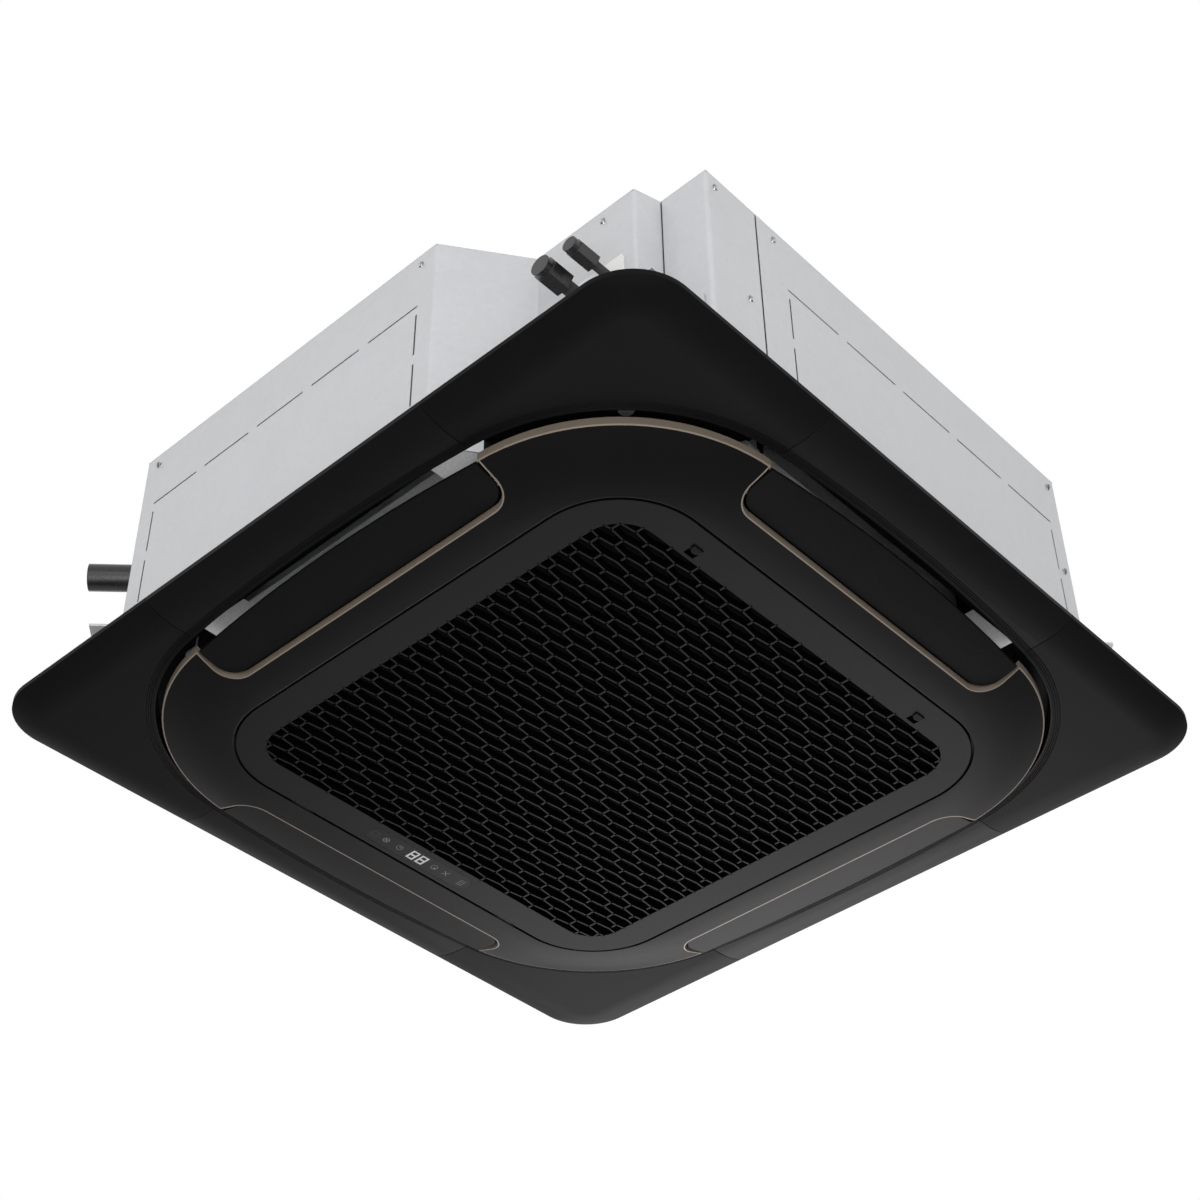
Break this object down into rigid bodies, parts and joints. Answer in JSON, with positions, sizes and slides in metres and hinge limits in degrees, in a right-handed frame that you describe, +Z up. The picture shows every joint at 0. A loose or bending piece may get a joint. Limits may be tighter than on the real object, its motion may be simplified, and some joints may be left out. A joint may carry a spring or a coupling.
{
  "type": "ceiling cassette air conditioner",
  "caption": "Ceiling cassette air conditioner with a galvanised casing, a satin black panel, side louvers and a hinged honeycomb intake grille",
  "frame": {"origin": "middle of the ceiling plane, level with the top of the panel's rim", "axes": "+Z up; grille hinge and display on the -X side; pipe notch at the +X -Y corner; drain outlet at the -X -Y corner"},
  "size_m": [0.95, 0.95, 0.3652],
  "materials": {
    "panel_black": "satin moulded, fine grain",
    "cover_black": "matte moulded",
    "louver_black": "satin moulded",
    "carrier_black": "matte moulded",
    "bronze_trim": "bronze metallic paint",
    "display_gloss": "dark smoked window",
    "filter_mesh": "fine woven nylon",
    "galvanised": "galvanised, faint spangle",
    "plain_steel": "plain",
    "screw_steel": "zinc plated",
    "fin_aluminium": "close fins",
    "copper": "drawn copper",
    "white_foam": "beaded polystyrene foam",
    "liner_foam": "closed cell foam",
    "white_plastic": "moulded",
    "fan_grey": "moulded",
    "board_green": "circuit board lacquer",
    "cap_black": "moulded",
    "soft_black": "soft"
  },
  "bodies": {
    "unit": {"panel_frame": "panel_black", "corner_cover_back_right": "cover_black", "corner_cover_back_left": "cover_black", "corner_cover_front_left": "cover_black", "corner_cover_front_right": "cover_black", "centre_plate": "panel_black", "plate_edge_trim": "bronze_trim", "panel_carrier": "carrier_black", "grille_hinge_pins": "plain_steel", "louver_motor_front": "plain_steel", "louver_motor_right": "plain_steel", "louver_motor_back": "plain_steel", "louver_motor_left": "plain_steel", "casing_front": "galvanised", "casing_notch": "galvanised", "casing_right": "galvanised", "casing_back": "galvanised", "casing_left": "galvanised", "casing_top": "galvanised", "casing_screws": "screw_steel", "hanger_brackets": "galvanised", "foam_liner": "liner_foam", "drain_pan": "white_foam", "bell_mouth": "carrier_black", "control_box": "galvanised", "control_box_cover": "galvanised", "circuit_board": "board_green", "terminal_block": "white_plastic", "coil_fins": "fin_aluminium", "coil_headers": "copper", "gas_pipe": "copper", "liquid_pipe": "copper", "gas_pipe_cap": "cap_black", "liquid_pipe_cap": "cap_black", "pipe_grommet": "soft_black", "fan_motor": "plain_steel", "motor_plate": "galvanised", "motor_mounts": "soft_black", "drain_pump": "white_plastic", "drain_hose": "soft_black", "drain_outlet": "cap_black", "float_stem": "white_plastic", "outlet_seals": "white_foam", "panel_brackets": "galvanised", "panel_bolts": "screw_steel"},
    "grille": {"intake_grille": "panel_black", "filter_frame": "carrier_black", "filter_sheet": "filter_mesh", "display_window": "display_gloss", "display_board": "board_green"},
    "latch_front": {"grille_latch_front": "cover_black"},
    "latch_back": {"grille_latch_back": "cover_black"},
    "flap_front": {"louver_front": "louver_black"},
    "flap_right": {"louver_right": "louver_black"},
    "flap_back": {"louver_back": "louver_black"},
    "flap_left": {"louver_left": "louver_black"},
    "fan": {"fan_impeller": "fan_grey", "motor_shaft": "plain_steel", "hub_nut": "screw_steel"},
    "float": {"drain_float": "white_foam"}
  },
  "joints": [
    {"name": "grille_open", "type": "hinge", "parent": "unit", "child": "grille", "pos_m": [-0.312, 0, -0.04475], "axis": [0, 1, 0], "range_deg": [0, 85]},
    {"name": "latch_front_slide", "type": "slide", "parent": "grille", "child": "latch_front", "axis": [-1, 0, 0], "range_m": [0, 0.005], "stiffness_N_per_m": 400},
    {"name": "latch_back_slide", "type": "slide", "parent": "grille", "child": "latch_back", "axis": [-1, 0, 0], "range_m": [0, 0.005], "stiffness_N_per_m": 400},
    {"name": "louver_front_swing", "type": "hinge", "parent": "unit", "child": "flap_front", "pos_m": [0, -0.388, -0.014], "axis": [1, 0, 0], "range_deg": [-15, 30]},
    {"name": "louver_right_swing", "type": "hinge", "parent": "unit", "child": "flap_right", "pos_m": [0.388, 0, -0.014], "axis": [0, 1, 0], "range_deg": [-15, 30]},
    {"name": "louver_back_swing", "type": "hinge", "parent": "unit", "child": "flap_back", "pos_m": [0, 0.388, -0.014], "axis": [-1, 0, 0], "range_deg": [-15, 30]},
    {"name": "louver_left_swing", "type": "hinge", "parent": "unit", "child": "flap_left", "pos_m": [-0.388, 0, -0.014], "axis": [0, -1, 0], "range_deg": [-15, 30]},
    {"name": "fan_spin", "type": "hinge", "parent": "unit", "child": "fan", "pos_m": [0, 0, 0.22], "axis": [0, 0, 1], "continuous": true},
    {"name": "float_rise", "type": "slide", "parent": "unit", "child": "float", "axis": [0, 0, 1], "range_m": [0, 0.024]}
  ]
}
